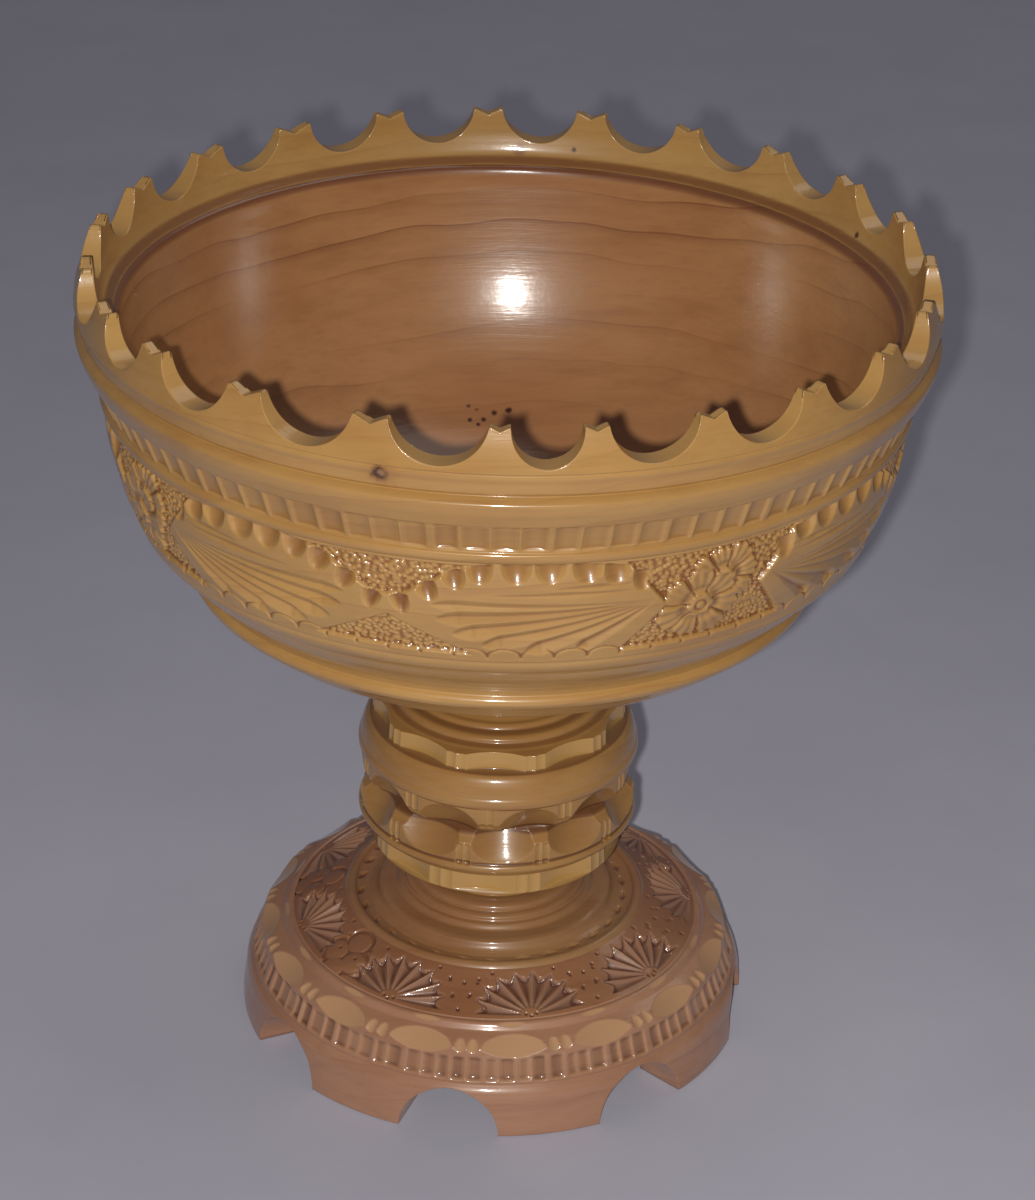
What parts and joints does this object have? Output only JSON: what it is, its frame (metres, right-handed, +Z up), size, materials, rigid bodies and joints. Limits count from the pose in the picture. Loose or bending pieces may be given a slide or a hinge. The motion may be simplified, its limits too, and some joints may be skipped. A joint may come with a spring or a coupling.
{
  "type": "carved footed bowl",
  "caption": "Turned and carved wooden bowl with a scalloped rim, on a knopped stem and a foot with arched legs; holds fruit or offerings.",
  "frame": {"origin": "centre of the circle that the legs stand on, at the surface under them", "axes": "+Z up along the turning axis; -Y towards the front of the carved frieze's layout"},
  "size_m": [0.2014, 0.2016, 0.2058],
  "materials": {
    "honey_wood": "clear gloss lacquer over honey-yellow turned and carved wood",
    "red_wood": "clear gloss lacquer over reddish turned and carved wood"
  },
  "bodies": {
    "root": {"bowl": "honey_wood", "stem": "honey_wood", "foot": "red_wood"}
  },
  "joints": []
}
